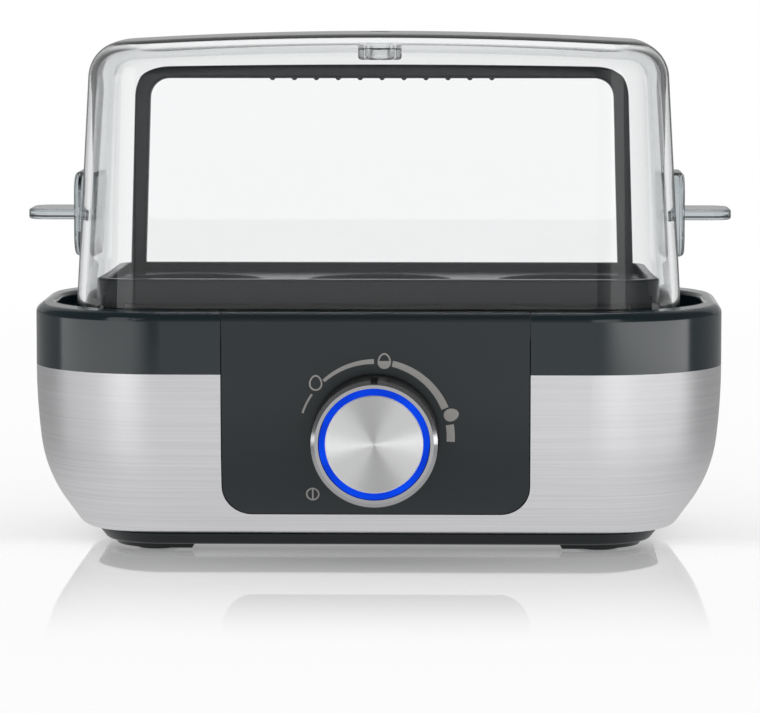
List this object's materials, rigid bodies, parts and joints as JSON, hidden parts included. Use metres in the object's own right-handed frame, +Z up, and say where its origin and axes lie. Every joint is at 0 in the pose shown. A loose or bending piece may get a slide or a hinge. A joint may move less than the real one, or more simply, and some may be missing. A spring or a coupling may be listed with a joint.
{
  "type": "electric egg cooker",
  "caption": "Small countertop electric egg cooker: brushed steel bowl body, dark collar and panel, lit rotary knob, lift-out egg tray with arch handle, clear lift-off lid.",
  "frame": {"origin": "on the table plane, under the middle of the whole appliance's box", "axes": "+Z up, the knob faces -Y, +X to the right of someone facing the knob"},
  "size_m": [0.192, 0.1216, 0.1384],
  "materials": {
    "brushed_steel": "brushed along its length",
    "dark_plastic": "satin gloss, anthracite",
    "black_plastic": "fine moulded matt",
    "tray_plastic": "satin, anthracite",
    "clear_plastic": "clear, polished",
    "rubber": "matt",
    "silicone": "matt, translucent grey",
    "coated_bowl": "dark non-stick coating",
    "plain_aluminium": "rolled",
    "satin_aluminium": "spun, satin",
    "heater_sheath": "heat-tinted",
    "zinc_steel": "zinc plated",
    "circuit_board": "solder mask",
    "relay_case": "moulded",
    "phenolic": "moulded phenolic",
    "terminal_plastic": "moulded",
    "lead_sleeve": "woven glass sleeve",
    "blue_light": "diffusing, lit"
  },
  "bodies": {
    "base": {"steel_shell": "brushed_steel", "collar": "dark_plastic", "front_panel": "dark_plastic", "base_pan": "black_plastic", "rubber_feet": "rubber", "base_screws": "zinc_steel", "heating_bowl": "coated_bowl", "bowl_seal": "silicone", "heating_element": "heater_sheath", "heat_shield": "plain_aluminium", "shield_nuts": "zinc_steel", "thermostat": "phenolic", "thermal_fuse": "phenolic", "control_board": "circuit_board", "led_lights": "blue_light", "power_relay": "relay_case", "capacitor": "black_plastic", "buzzer": "black_plastic", "board_screws": "zinc_steel", "panel_screws": "zinc_steel", "potentiometer": "relay_case", "potentiometer_nut": "zinc_steel", "cord_gland": "black_plastic", "terminal_block": "terminal_plastic", "heater_leads": "lead_sleeve"},
    "knob": {"knob_skirt": "black_plastic", "knob_bezel": "satin_aluminium", "knob_light_ring": "blue_light", "knob_cap": "satin_aluminium", "potentiometer_shaft": "zinc_steel"},
    "tray": {"egg_tray": "tray_plastic", "tray_handle": "tray_plastic"},
    "lid": {"lid": "clear_plastic", "lid_handle_left": "clear_plastic", "lid_handle_right": "clear_plastic"}
  },
  "joints": [
    {"name": "knob_turn", "type": "hinge", "parent": "base", "child": "knob", "pos_m": [0, -0.04625, 0.0322], "axis": [0, 1, 0], "range_deg": [-133, 88]},
    {"name": "tray_lift", "type": "slide", "parent": "base", "child": "tray", "axis": [0, 0, 1], "range_m": [0, 0.09]},
    {"name": "lid_lift", "type": "slide", "parent": "tray", "child": "lid", "axis": [0, 0, 1], "range_m": [0, 0.09]}
  ]
}
